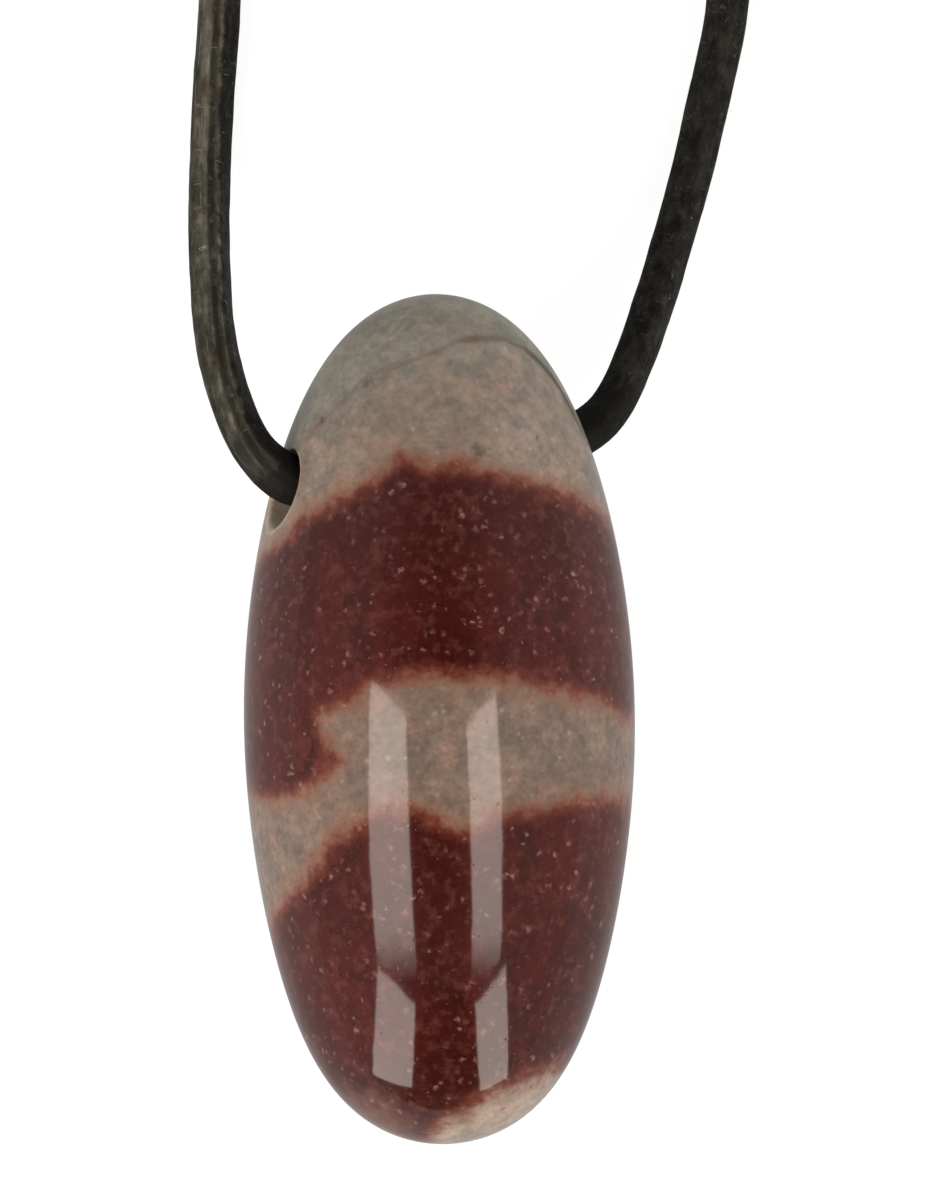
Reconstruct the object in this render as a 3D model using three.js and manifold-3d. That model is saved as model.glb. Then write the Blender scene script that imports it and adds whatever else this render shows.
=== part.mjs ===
// A polished shiva lingam stone on its leather lace.
// Millimetres, +Z up. The stone lies on its side on the plane z = 0: its long axis is Y, its top end points
// to +Y, and the lace runs through a hole drilled crosswise near that end and lies coiled beyond it.
import * as THREE from "three";
import { mergeVertices } from "three/addons/utils/BufferGeometryUtils.js";
import Module from "manifold-3d";

// The stone: its section across Y is an oval that shrinks towards both ends.
const stoneLength = 40;
const stoneWidth = 18.4; // along X, at the middle of its length
const stoneDepth = 17; // along Z, before the flat spot
const flatSpotDepth = 0.3; // how much the flat spot takes off the underside
const topFullness = 0.23; // how much blunter than an ellipse the end at +Y is
const bottomFullness = 0.5; // the same at -Y, which is the rounder end
const axisHeight = stoneDepth / 2 - flatSpotDepth;

// The drilled hole: its axis crosses the stone's long axis, rises towards +Y and dips from left to right.
const boreDiameter = 3.4;
const boreCentreY = 12.25;
const boreRise = 11; // degrees
const boreDip = 16.5; // degrees

// The lace, and the coil of its put-away length, wound as a pair of strands: 4 wide and 3 high.
const laceDiameter = 2;
const coilCentreX = 4.4;
const coilCentreY = 54.5;
const coilMiddleRadius = 12;
const coilWidth = 4 * laceDiameter + 0.4;
const coilHeight = 3 * laceDiameter + 0.2;

// The knot: both strands pass side by side through a barrel of their own turns, on top of the coil.
const knotAngle = 180; // degrees round the coil from +X, at the barrel's middle
const barrelLength = 4 * laceDiameter;
const leadReach = 46; // degrees from the barrel's middle back to where the pair rises off the coil
const tailReach = 62; // degrees from the barrel's middle on to the cut ends
const gap = 0.3; // between neighbouring solids

// The lace's route from the middle of the hole: out of the mouth, round the stone's shoulder and down to
// the surface, then along it to the coil.
const leftRoute = [
  [-0.09, 11.93, 8.23],
  [-2.01, 11.49, 8.81],
  [-3.89, 11.13, 9.37],
  [-5.46, 10.99, 9.83],
  [-6.55, 11.2, 10.14],
  [-7.33, 11.6, 10.31],
  [-7.98, 12.13, 10.38],
  [-8.55, 12.8, 10.33],
  [-9.03, 13.62, 10.1],
  [-9.45, 14.62, 9.63],
  [-9.83, 15.75, 8.93],
  [-10.13, 16.9, 8.07],
  [-10.35, 18.05, 7.1],
  [-10.52, 19.3, 6.0],
  [-10.64, 20.8, 4.7],
  [-10.7, 22.4, 3.45],
  [-10.72, 24, 2.45],
  [-10.69, 25.7, 1.65],
  [-10.58, 28.48, 1.06],
  [-10.35, 31.54, 1],
  [-10.13, 34.4, 1],
  [-10.15, 37.5, 1],
  [-10.4, 41, 1],
  [-10.58, 45.8, 1],
];
const rightRoute = [
  [0.19, 11.98, 8.14],
  [2.13, 12.3, 7.56],
  [4.02, 12.66, 6.99],
  [5.6, 12.97, 6.5],
  [6.45, 13.23, 6.26],
  [7.24, 13.66, 6.03],
  [7.9, 14.22, 5.8],
  [8.45, 14.95, 5.52],
  [8.92, 15.8, 5.18],
  [9.34, 16.75, 4.75],
  [9.82, 17.95, 4.15],
  [10.22, 19.1, 3.55],
  [10.75, 20.62, 2.75],
  [11.2, 22.1, 2.1],
  [11.7, 23.75, 1.58],
  [12.54, 26.69, 1.08],
  [13.27, 29.74, 1],
  [13.68, 31.5, 1],
  [14.15, 34.1, 1],
  [14.2, 36, 1],
  [13.6, 38, 1],
  [12.3, 39.65, 1],
];

const wasm = await Module();
wasm.setup();

// A closed three.js geometry as a solid that can be joined and cut.
function toSolid(geometry) {
  const plain = geometry.index ? geometry.toNonIndexed() : geometry.clone();
  plain.deleteAttribute("normal");
  plain.deleteAttribute("uv");
  const merged = mergeVertices(plain, 1e-4);
  return new wasm.Manifold(
    new wasm.Mesh({
      numProp: 3,
      vertProperties: merged.attributes.position.array,
      triVerts: new Uint32Array(merged.index.array),
    }),
  );
}

// A solid back as a geometry, with flat faces.
function toGeometry(solid) {
  const mesh = solid.getMesh();
  const indexed = new THREE.BufferGeometry();
  indexed.setAttribute("position", new THREE.BufferAttribute(mesh.vertProperties, 3));
  indexed.setIndex(new THREE.BufferAttribute(mesh.triVerts, 1));
  const geometry = indexed.toNonIndexed();
  geometry.computeVertexNormals();
  return geometry;
}

// The stone's radius across Y, as a share of its half width, at a share t of the way from middle to end.
function stoneProfile(t) {
  const fullness = t > 0 ? topFullness : bottomFullness;
  return Math.sqrt((1 - t * t) * (1 + fullness * t ** 4));
}

function stoneGeometry() {
  const rings = 46;
  const sides = 60;
  const profile = [new THREE.Vector2(0, -stoneLength / 2)];
  for (let i = 1; i < rings; i++) {
    const t = -Math.cos((Math.PI * i) / rings);
    profile.push(new THREE.Vector2((stoneWidth / 2) * stoneProfile(t), (stoneLength / 2) * t));
  }
  profile.push(new THREE.Vector2(0, stoneLength / 2));
  const egg = new THREE.LatheGeometry(profile, sides);
  egg.scale(1, 1, stoneDepth / stoneWidth);
  egg.translate(0, 0, axisHeight);

  const bore = new THREE.CylinderGeometry(boreDiameter / 2, boreDiameter / 2, 2 * stoneWidth, 32);
  bore.rotateZ(-Math.PI / 2);
  bore.rotateY(THREE.MathUtils.degToRad(boreDip));
  bore.rotateZ(THREE.MathUtils.degToRad(boreRise));
  bore.translate(0, boreCentreY, axisHeight);

  const below = new THREE.BoxGeometry(stoneWidth, stoneLength, stoneDepth);
  below.translate(0, 0, -stoneDepth / 2);

  return toGeometry(toSolid(egg).subtract(toSolid(bore)).subtract(toSolid(below)));
}

// The outline of a section with equal sides round an oval.
function ovalSection(width, height, sides) {
  const points = [];
  for (let i = 0; i < sides; i++) {
    const angle = (2 * Math.PI * (i + 0.5)) / sides;
    points.push(new THREE.Vector2((width / 2) * Math.cos(angle), (height / 2) * Math.sin(angle)));
  }
  return new THREE.Shape(points);
}

function alongPath(section, path, steps) {
  return new THREE.ExtrudeGeometry(section, { steps, extrudePath: path, bevelEnabled: false });
}

function laceGeometry(route, steps) {
  const path = new THREE.CatmullRomCurve3(route.map((point) => new THREE.Vector3(...point)));
  return alongPath(ovalSection(laceDiameter, laceDiameter, 8), path, steps);
}

// The coil's outer shape: a ring whose section is a rectangle with round corners.
function coilGeometry() {
  const corner = laceDiameter / 2;
  const cornerSteps = 3;
  const profile = [];
  const corners = [
    [coilMiddleRadius - coilWidth / 2 + corner, corner, 180],
    [coilMiddleRadius + coilWidth / 2 - corner, corner, 270],
    [coilMiddleRadius + coilWidth / 2 - corner, coilHeight - corner, 0],
    [coilMiddleRadius - coilWidth / 2 + corner, coilHeight - corner, 90],
  ];
  for (const [radius, height, start] of corners) {
    for (let i = 0; i <= cornerSteps; i++) {
      const angle = THREE.MathUtils.degToRad(start + (90 * i) / cornerSteps);
      profile.push(new THREE.Vector2(radius + corner * Math.cos(angle), height + corner * Math.sin(angle)));
    }
  }
  profile.push(profile[0].clone());
  const ring = new THREE.LatheGeometry(profile, 56);
  ring.rotateX(Math.PI / 2);
  return ring;
}

// The knot: the pair of strands rises off the coil, runs through the barrel and comes down as two cut tails.
function knotGeometry() {
  const pairWidth = 2 * laceDiameter;
  const barrelWidth = pairWidth + 2 * laceDiameter;
  const barrelHeight = 3 * laceDiameter;
  const low = coilHeight + gap + laceDiameter / 2;
  const high = coilHeight + gap + barrelHeight / 2;
  const barrelReach = THREE.MathUtils.radToDeg(barrelLength / 2 / coilMiddleRadius);
  const onCoil = (degrees, height) => {
    const angle = THREE.MathUtils.degToRad(knotAngle - degrees);
    return new THREE.Vector3(coilMiddleRadius * Math.cos(angle), coilMiddleRadius * Math.sin(angle), height);
  };
  const pairPath = new THREE.CatmullRomCurve3([
    onCoil(-leadReach, low),
    onCoil(-barrelReach, high),
    onCoil(0, high),
    onCoil(barrelReach, high),
    onCoil(tailReach - 20, low),
    onCoil(tailReach, low),
  ]);
  const barrelPath = new THREE.CatmullRomCurve3([
    onCoil(-barrelReach, high),
    onCoil(0, high),
    onCoil(barrelReach, high),
  ]);
  const pair = toSolid(alongPath(ovalSection(laceDiameter, pairWidth, 8), pairPath, 18));
  const barrel = toSolid(alongPath(ovalSection(barrelHeight, barrelWidth, 14), barrelPath, 6));
  return toGeometry(pair.add(barrel));
}

const polishedStone = new THREE.MeshStandardMaterial({ color: 0x6b5650, roughness: 0.2, metalness: 0 });
const blackLeather = new THREE.MeshStandardMaterial({ color: 0x1d1a18, roughness: 0.55, metalness: 0 });

function piece(name, geometry, material) {
  const mesh = new THREE.Mesh(geometry, material);
  mesh.name = name;
  return mesh;
}

const lace = new THREE.Group();
lace.add(piece("lace_left", laceGeometry(leftRoute, 42), blackLeather));
lace.add(piece("lace_right", laceGeometry(rightRoute, 36), blackLeather));

const coil = new THREE.Group();
coil.position.set(coilCentreX, coilCentreY, 0);
coil.add(piece("lace_coil", coilGeometry(), blackLeather));
coil.add(piece("lace_knot", knotGeometry(), blackLeather));
lace.add(coil);

const pendant = new THREE.Group();
pendant.add(piece("stone", stoneGeometry(), polishedStone));
pendant.add(lace);

export default pendant;
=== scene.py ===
# A polished shiva lingam stone that lies on its side, with its leather lace through the drilled hole.
# Lengths in the dictionaries are in millimetres, but for the light's, and angles are in degrees. Points
# reach Blender in metres.
import bpy
import numpy as np
from math import cos, pi, radians, sin, sqrt
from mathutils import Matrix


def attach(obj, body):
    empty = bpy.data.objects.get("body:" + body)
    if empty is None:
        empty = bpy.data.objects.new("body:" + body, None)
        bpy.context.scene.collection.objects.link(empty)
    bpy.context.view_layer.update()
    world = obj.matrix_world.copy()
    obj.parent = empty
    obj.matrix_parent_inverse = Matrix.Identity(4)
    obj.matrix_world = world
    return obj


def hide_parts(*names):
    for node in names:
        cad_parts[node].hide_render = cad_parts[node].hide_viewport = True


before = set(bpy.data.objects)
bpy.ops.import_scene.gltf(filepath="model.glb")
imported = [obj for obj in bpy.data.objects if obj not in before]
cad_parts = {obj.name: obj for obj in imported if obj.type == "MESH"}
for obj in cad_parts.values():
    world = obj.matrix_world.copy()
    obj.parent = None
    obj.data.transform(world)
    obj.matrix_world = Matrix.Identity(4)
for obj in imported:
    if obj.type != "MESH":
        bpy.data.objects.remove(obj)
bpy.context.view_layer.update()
mm = 0.001

camera = {
    "above": (1.22, 5.59),  # the point straight under it
    "height": 458.2,  # above the floor
    "turn": -0.64,  # about the vertical
    "lens": 286.9,
    "sensor": 36,
    "nearest": 10,  # it sees from here to the farthest
    "farthest": 20000,
}


def makeCamera():
    data = bpy.data.cameras.new("camera")
    data.lens = camera["lens"]
    data.sensor_width = camera["sensor"]
    data.clip_start = camera["nearest"] * mm
    data.clip_end = camera["farthest"] * mm
    made = bpy.data.objects.new("camera", data)
    right, far = camera["above"]
    made.location = (right * mm, far * mm, camera["height"] * mm)
    made.rotation_euler = (0, 0, radians(camera["turn"]))
    bpy.context.collection.objects.link(made)
    bpy.context.scene.camera = made


makeCamera()
print("camera: done")


def unit(vectors):  # each vector over its own length
    return vectors / np.linalg.norm(vectors, axis=-1, keepdims=True)


def ease(value, start, end):  # 0 before start, 1 after end, and a smooth 3t^2 - 2t^3 between them
    t = np.clip((value - start) / (end - start), 0, 1)
    return t * t * (3 - 2 * t)


def splineThrough(points, step):
    # A cubic through the points whose slope and bend run on. At each inner point the bends m solve
    # h0*m0 + 2*(h0 + h1)*m1 + h1*m2 = 6*(slope1 - slope0), and they are 0 at the two ends.
    points = np.asarray(points, float)
    spans = np.linalg.norm(np.diff(points, axis=0), axis=1)
    slopes = np.diff(points, axis=0) / spans[:, None]
    inner = np.arange(1, len(points) - 1)
    matrix = np.eye(len(points))
    matrix[inner, inner - 1] = spans[:-1]
    matrix[inner, inner] = 2 * (spans[:-1] + spans[1:])
    matrix[inner, inner + 1] = spans[1:]
    target = np.zeros_like(points)
    target[1:-1] = 6 * np.diff(slopes, axis=0)
    bends = np.linalg.solve(matrix, target)
    knots = np.concatenate(([0], np.cumsum(spans)))
    along = np.linspace(0, knots[-1], int(knots[-1] / step) + 1)
    i = np.clip(np.searchsorted(knots, along, side="right") - 1, 0, len(spans) - 1)
    h = spans[i][:, None]
    before = (along - knots[i])[:, None]
    after = (knots[i + 1] - along)[:, None]
    bent = (bends[i] * after**3 + bends[i + 1] * before**3) / (6 * h)
    straight = (points[i] / h - bends[i] * h / 6) * after
    return bent + straight + (points[i + 1] / h - bends[i + 1] * h / 6) * before


def gridMesh(name, points, closedAlong):
    # A surface from a grid of points [along, around]. It is closed around, and along it either closes on
    # itself or gets a fan at each end. The faces point outwards where the points go round clockwise, as
    # seen by someone who looks along.
    rows, sides = points.shape[:2]
    index = np.arange(rows * sides).reshape(rows, sides)
    nextRow = np.roll(index, -1, axis=0)
    if not closedAlong:
        index, nextRow = index[:-1], nextRow[:-1]
    corners = [index, np.roll(index, -1, axis=1), np.roll(nextRow, -1, axis=1), nextRow]
    faces = np.stack(corners, axis=-1).reshape(-1, 4).tolist()
    vertices = points.reshape(-1, 3)
    if not closedAlong:
        first, last = rows * sides, rows * sides + 1
        ring = np.arange(sides)
        turned = np.roll(ring, -1)
        faces += np.stack([turned, ring, np.full(sides, first)], axis=1).tolist()
        top = (rows - 1) * sides
        faces += np.stack([top + ring, top + turned, np.full(sides, last)], axis=1).tolist()
        vertices = np.concatenate([vertices, [points[0].mean(axis=0), points[-1].mean(axis=0)]])
    mesh = bpy.data.meshes.new(name)
    mesh.from_pydata((vertices * mm).tolist(), [], faces)
    mesh.polygons.foreach_set("use_smooth", np.ones(len(faces), bool))
    mesh.update()
    made = bpy.data.objects.new(name, mesh)
    bpy.context.collection.objects.link(made)
    return made


def keep(made, name, kind, values):  # a number or a vector for each vertex, for the materials
    attribute = made.data.attributes.new(name, kind, "POINT")
    field = "vector" if kind == "FLOAT_VECTOR" else "value"
    values = np.asarray(values, np.float32)
    missing = len(made.data.vertices) - len(values)
    if missing:  # the middles of the two end fans
        values = np.concatenate([values, values[-missing:]])
    attribute.data.foreach_set(field, values.ravel())


lace = {
    "width": 1.78,  # across the flat faces of its square section
    "corner": 3.4,  # 2 is round, and more is squarer
    "sides": 24,
    "step": 0.4,  # from one ring of points to the next
    "leftTurn": 28,  # how far the grain side leans to the left
    "rightTurn": 214,
    "sway": 9,
    "swayLength": 31,
    "wear": 0.025,  # how uneven the faces are, as a share of the width
    "wearWaves": 7,  # how many waves make it
    "longestWave": 9,
    "mouthAt": 7.3,  # how far along it bends over the hole's edge, and is squeezed wider
    "mouthReach": 1.5,
    "leftSqueezed": 0.17,
    "rightSqueezed": 0.07,
    "cutEnd": 0.86,  # the width at a cut end, as a share
    "cutReach": (-0.05, 0.3),  # where it grows to the full width
}

coil = {
    "centre": (4.4, 54.5),
    "middleRadius": 12,
    "firstAngle": 270,  # where the turns start, to run clockwise
    "beside": 2.06,  # from a strand to its neighbour
    "above": 2.04,  # from a strand to the one on top
    "lowest": 1,
    "inward": ((300, 345), (1520, 1565)),  # where the pair crosses to the inner column
    "outward": ((910, 955),),
    "upward": ((605, 650), (1215, 1260)),
    "pointEvery": 15,
}

knot = {
    "middle": 1890,  # degrees wound before the barrel's middle
    "height": 9.1,
    "rise": (1800, 1860),  # where the pair leaves the coil
    "centring": (1812, 1872),
    "sink": (1910, 1932),  # where the two tails come down again
    "tailHeight": 7.1,
    "leftTail": 1952,
    "rightTail": 1946,
    "turns": 4,
    "pitch": 2.03,
    "tuck": 0.4,  # turns at each end that run in under the barrel
    "drawnIn": 0.45,  # how much narrower they get there
    "squareness": 3,  # 0 is a round turn, and more is flatter over the pair
    "points": 260,
}

# The route's points from the middle of the hole to the coil.
leftRoute = [
    (-0.09, 11.93, 8.23),
    (-2.01, 11.49, 8.81),
    (-3.89, 11.13, 9.37),
    (-5.46, 10.99, 9.83),
    (-6.55, 11.2, 10.14),
    (-7.33, 11.6, 10.31),
    (-7.98, 12.13, 10.38),
    (-8.55, 12.8, 10.33),
    (-9.03, 13.62, 10.1),
    (-9.45, 14.62, 9.63),
    (-9.83, 15.75, 8.93),
    (-10.13, 16.9, 8.07),
    (-10.35, 18.05, 7.1),
    (-10.52, 19.3, 6.0),
    (-10.64, 20.8, 4.7),
    (-10.7, 22.4, 3.45),
    (-10.72, 24, 2.45),
    (-10.69, 25.7, 1.65),
    (-10.58, 28.48, 1.06),
    (-10.35, 31.54, 1),
    (-10.13, 34.4, 1),
    (-10.15, 37.5, 1),
    (-10.4, 41, 1),
    (-10.58, 45.8, 1),
]
rightRoute = [
    (0.19, 11.98, 8.14),
    (2.13, 12.3, 7.56),
    (4.02, 12.66, 6.99),
    (5.6, 12.97, 6.5),
    (6.45, 13.23, 6.26),
    (7.24, 13.66, 6.03),
    (7.9, 14.22, 5.8),
    (8.45, 14.95, 5.52),
    (8.92, 15.8, 5.18),
    (9.34, 16.75, 4.75),
    (9.82, 17.95, 4.15),
    (10.22, 19.1, 3.55),
    (10.75, 20.62, 2.75),
    (11.2, 22.1, 2.1),
    (11.7, 23.75, 1.58),
    (12.54, 26.69, 1.08),
    (13.27, 29.74, 1),
    (13.68, 31.5, 1),
    (14.15, 34.1, 1),
    (14.2, 36, 1),
    (13.6, 38, 1),
    (12.3, 39.65, 1),
    (10.4, 41, 1),
    (8.3, 41.45, 1),
]


def onCoil(wound, outward, height):  # degrees wound since the start, distance from the middle, height
    angle = np.radians(coil["firstAngle"] - wound)
    x = coil["centre"][0] + outward * np.cos(angle)
    y = coil["centre"][1] + outward * np.sin(angle)
    return np.stack([x, y, height + 0 * x], axis=-1)


def strandPoints(side, first, last):
    # The pair's middle is one strand's width outside or inside the coil's middle radius. Each strand lies
    # half of that to its own side: +1 is the left strand, outside, and -1 the right one.
    wound = np.append(np.arange(first, last, coil["pointEvery"]), last)
    column = 1 - 2 * sum(ease(wound, *span) for span in coil["inward"])
    column += 2 * sum(ease(wound, *span) for span in coil["outward"]) + ease(wound, *knot["centring"])
    layer = sum(ease(wound, *span) for span in coil["upward"])
    height = coil["lowest"] + coil["above"] * layer
    height += (knot["height"] - height) * ease(wound, *knot["rise"])
    height += (knot["tailHeight"] - knot["height"]) * ease(wound, *knot["sink"])
    return onCoil(wound, coil["middleRadius"] + coil["beside"] * (column + side / 2), height)


def waves(values, count, longest, seed):
    # A sum of sine waves along the values, each shorter and flatter than the last, between about -1 and 1.
    # The i-th is sin(2*pi*value/length + phase) / 1.35^i, and its length is about longest / 1.7^i.
    random = np.random.default_rng(seed)
    total = 0
    for i in range(count):
        length = longest / (1.7**i) * random.uniform(0.8, 1.2)
        total = total + np.sin(2 * pi * values / length + random.uniform(0, 2 * pi)) / (1.35**i)
    return total / 2


def sweepLace(name, path, up, turn, seed, squeezed=0):
    # The section is r = w/2 / (|cos b|^n + |sin b|^n)^(1/n), turned along the path. Each point also keeps
    # where it was on the straight lace, where +y is the grain side and z runs along.
    along = np.concatenate(([0], np.cumsum(np.linalg.norm(np.diff(path, axis=0), axis=1))))
    forward = unit(np.gradient(path, axis=0))
    side = unit(np.cross(forward, up))
    top = np.cross(side, forward)
    around = np.linspace(0, 2 * pi, lace["sides"], endpoint=False)[None, :]
    swayed = turn + lace["sway"] * np.sin(2 * pi * along / lace["swayLength"] + seed)
    b = around - np.radians(swayed)[:, None]
    n = lace["corner"]
    radius = lace["width"] / 2 / (np.abs(np.cos(b)) ** n + np.abs(np.sin(b)) ** n) ** (1 / n)
    faces = range(4)
    wear = [waves(along, lace["wearWaves"], lace["longestWave"], seed + k)[:, None] for k in faces]
    share = [np.maximum(np.cos(b - k * pi / 2), 0) ** 2 for k in faces]
    radius = radius * (1 + lace["wear"] * sum(wear[k] * share[k] for k in faces))
    atMouth = np.exp(-(((along - lace["mouthAt"]) / lace["mouthReach"]) ** 2))[:, None]
    radius = radius * (1 + squeezed * atMouth)
    fromEnd = np.minimum(along, along[-1] - along)[:, None]
    radius = radius * (lace["cutEnd"] + (1 - lace["cutEnd"]) * ease(fromEnd, *lace["cutReach"]))
    across = radius * np.cos(around)
    upward = radius * np.sin(around)
    points = path[:, None] + across[..., None] * side[:, None] + upward[..., None] * top[:, None]
    points[..., 2] = np.maximum(points[..., 2], 0)  # pressed flat where it lies on the floor
    made = gridMesh(name, points[:, ::-1], False)
    grain = np.stack([radius * np.cos(b), radius * np.sin(b), along[:, None] + 0 * b], axis=-1)
    keep(made, "straight", "FLOAT_VECTOR", grain[:, ::-1].reshape(-1, 3))
    return made


def strand(name, route, side, first, last, turn, seed, squeezed):  # the route, and on round the coil
    points = np.concatenate([np.array(route), strandPoints(side, first, last)])
    path = splineThrough(points, lace["step"])
    return sweepLace(name, path, np.array([0, 0, 1.0]), turn, seed, squeezed), path


def knotTurns():
    # The lace winds round the pair like thread on a flat bobbin: at the angle t it is moved sideways by
    # b/2*tanh(q*cos t) + p*cos t and upwards by p*sin t, and it is drawn in at both ends. Here b is the
    # distance of the pair's strands, q the squareness and p the pitch.
    half = knot["turns"] / 2 + knot["tuck"]
    turns = np.linspace(-half, half, knot["points"])
    t = 2 * pi * turns
    narrowed = 1 - knot["drawnIn"] * ease(np.abs(turns), half - knot["tuck"], half)
    overPair = coil["beside"] / 2 * np.tanh(knot["squareness"] * np.cos(t))
    sideways = (overPair + knot["pitch"] * np.cos(t)) * narrowed
    upward = knot["pitch"] * np.sin(t) * narrowed
    reach = np.clip(turns, -knot["turns"] / 2, knot["turns"] / 2) * knot["pitch"]
    wound = knot["middle"] + np.degrees(reach / coil["middleRadius"])
    path = onCoil(wound, coil["middleRadius"] + sideways, knot["height"] + upward)
    angle = np.radians(coil["firstAngle"] - wound)
    barrelAxis = np.stack([np.sin(angle), -np.cos(angle), 0 * angle], axis=-1)
    return sweepLace("laceKnot", path, barrelAxis, turn=-90, seed=5)


laceLeft, leftPath = strand(
    "laceLeft", leftRoute, side=1, first=90, last=knot["leftTail"],
    turn=lace["leftTurn"], seed=1, squeezed=lace["leftSqueezed"],
)
laceRight, rightPath = strand(
    "laceRight", rightRoute, side=-1, first=0, last=knot["rightTail"],
    turn=lace["rightTurn"], seed=2, squeezed=lace["rightSqueezed"],
)
laceKnot = knotTurns()
print("lace: done")


stone = {
    "length": 40,
    "width": 18.4,
    "depth": 17,  # before the flat spot
    "flatSpot": 0.3,
    "flatEdge": 0.04,  # how soft the flat spot's edge is
    "topFullness": 0.23,  # how much blunter than an ellipse the end at +Y is
    "bottomFullness": 0.5,
    "boreRadius": 1.7,
    "boreCentre": 12.25,
    "boreRise": 11,
    "boreDip": 16.5,
    "rounding": 0.38,  # of the hole's two edges
    "wallSlack": 0.02,  # how far off the wall still counts as the wall
    "searchFrom": 1.6,  # how far out the search for the skin starts, in half widths
    "halvings": 40,
    "sides": 320,
    "rings": 143,
    "reach": 1.407,  # how near the outer rings come to the mouths
    "crowding": 0.4,  # how much closer the points lie far from the hole
    "mouthRings": 20,
    "roundingRings": 8,
    "boreRings": 40,
}
axisHeight = stone["depth"] / 2 - stone["flatSpot"]
halfSize = np.array([stone["width"] / 2, stone["length"] / 2, stone["depth"] / 2])


def roundness(t):  # how much wider than an ellipse the stone is, at a share t of its half length
    fullness = np.where(t > 0, stone["topFullness"], stone["bottomFullness"])
    return np.sqrt(1 + fullness * t**4)


def onStone(direction):
    # x and z are the ellipse's times sqrt(1 + fullness*t^4), and the underside is pressed flat at z = 0 by
    # z' = (z + sqrt(z^2 + s^2)) / 2, where s is the flat spot's soft edge.
    wider = roundness(direction[..., 1])
    x = halfSize[0] * direction[..., 0] * wider
    y = halfSize[1] * direction[..., 1]
    z = axisHeight + halfSize[2] * direction[..., 2] * wider
    return np.stack([x, y, (z + np.sqrt(z**2 + stone["flatEdge"] ** 2)) / 2], axis=-1)


def outside(points):  # below 0 in the stone and above 0 out of it
    t = points[..., 1] / halfSize[1]
    across = (points[..., 0] / halfSize[0]) ** 2 + ((points[..., 2] - axisHeight) / halfSize[2]) ** 2
    return across - (1 - t**2) * roundness(t) ** 2


rise, dip = radians(stone["boreRise"]), radians(stone["boreDip"])
boreAxis = np.array([cos(dip) * cos(rise), cos(dip) * sin(rise), -sin(dip)])
boreUp = unit(np.array([0, 1, 0]) - boreAxis[1] * boreAxis)
boreSide = np.cross(boreAxis, boreUp)
boreMiddle = np.array([0, stone["boreCentre"], axisHeight])


def byBore(reach, radius, angle):  # a point by its place along, from and round the hole's axis
    turned = np.cos(angle)[..., None] * boreUp + np.sin(angle)[..., None] * boreSide
    return boreMiddle + reach[..., None] * boreAxis + radius[..., None] * turned


def toSurface(end, radius, angle):  # how far along the hole's axis the stone's surface is, by halving
    near = np.zeros_like(angle)
    far = np.full_like(angle, end * halfSize[0] * stone["searchFrom"])
    for _ in range(stone["halvings"]):
        middle = (near + far) / 2
        out = outside(byBore(middle, radius, angle)) > 0
        far = np.where(out, middle, far)
        near = np.where(out, near, middle)
    return near


def mouthRings(end, ring):
    # From the outer ring in to the hole's edge, each ring is a constant share of the last one's radius.
    # The edge itself is an arc between the surface and the hole's wall.
    offset = ring - boreMiddle
    angle = np.arctan2(offset @ boreSide, offset @ boreUp)
    ringRadius = np.hypot(offset @ boreSide, offset @ boreUp)
    rim = stone["boreRadius"] + stone["rounding"]
    share = (np.arange(stone["mouthRings"])[:, None] + 1) / stone["mouthRings"]
    radius = rim * (ringRadius / rim) ** (1 - share)
    angles = np.broadcast_to(angle, radius.shape)
    blend = byBore(toSurface(end, radius, angles), radius, angles)
    atRim = blend[-1]
    wall = np.full_like(angle, stone["boreRadius"])
    edgeReach = toSurface(end, wall, angle)
    atEdge = byBore(edgeReach, wall, angle)
    wallReach = edgeReach - end * np.linalg.norm(atRim - atEdge, axis=-1)
    inside = byBore(wallReach, wall, angle)
    t = (np.arange(stone["roundingRings"]) + 1)[:, None, None] / stone["roundingRings"]
    arc = atRim * (1 - t) ** 2 + atEdge * 2 * t * (1 - t) + inside * t**2
    return np.concatenate([blend, arc]), wallReach, angle


def stoneGrid():
    # The skin is closed like a ring doughnut: over the outside from the left mouth to the right one, and
    # back through the hole. The outer rings are circles round an axis through two poles of a sphere, and
    # (n + b*e1) / (1 + b*n1) slides the poles to where the hole's axis comes out.
    ends = []
    for end in (-1, 1):
        none = np.zeros(1)
        out = byBore(toSurface(end, none, none), none, none)[0]
        wider = roundness(out[1] / halfSize[1])
        ends.append(unit((out - [0, 0, axisHeight]) / halfSize / [wider, 1, wider]))
    towards = unit(ends[0] + ends[1])
    across = unit(ends[1] - ends[0])
    third = np.cross(towards, across)
    slide = np.linalg.norm(ends[0] + ends[1]) / 2
    polar = 2 * np.arctan(np.exp(np.linspace(-stone["reach"], stone["reach"], stone["rings"])))[:, None]
    around = np.linspace(0, 2 * pi, stone["sides"], endpoint=False)[None, :]
    around = around + stone["crowding"] * np.sin(around)
    first = np.sin(polar) * np.cos(around)
    second = -np.cos(polar) + 0 * around
    last = np.sin(polar) * np.sin(around)
    scale = sqrt(1 - slide**2) / (1 + slide * first)
    first = (first + slide) / (1 + slide * first)
    direction = first[..., None] * towards
    direction = direction + (second * scale)[..., None] * across + (last * scale)[..., None] * third
    outer = onStone(direction)
    left, leftReach, leftAngle = mouthRings(-1, outer[0])
    right, rightReach, rightAngle = mouthRings(1, outer[-1])
    t = (np.arange(stone["boreRings"]) + 1)[:, None] / (stone["boreRings"] + 1)
    twist = (leftAngle - rightAngle + pi) % (2 * pi) - pi
    reach = rightReach + (leftReach - rightReach) * t
    bore = byBore(reach, np.full_like(reach, stone["boreRadius"]), rightAngle + twist * t)
    return np.concatenate([left[::-1], outer, right, bore])[:, ::-1]


stoneBody = gridMesh("stoneBody", stoneGrid(), True)
stonePlaces = np.array([vertex.co for vertex in stoneBody.data.vertices]) / mm

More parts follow.
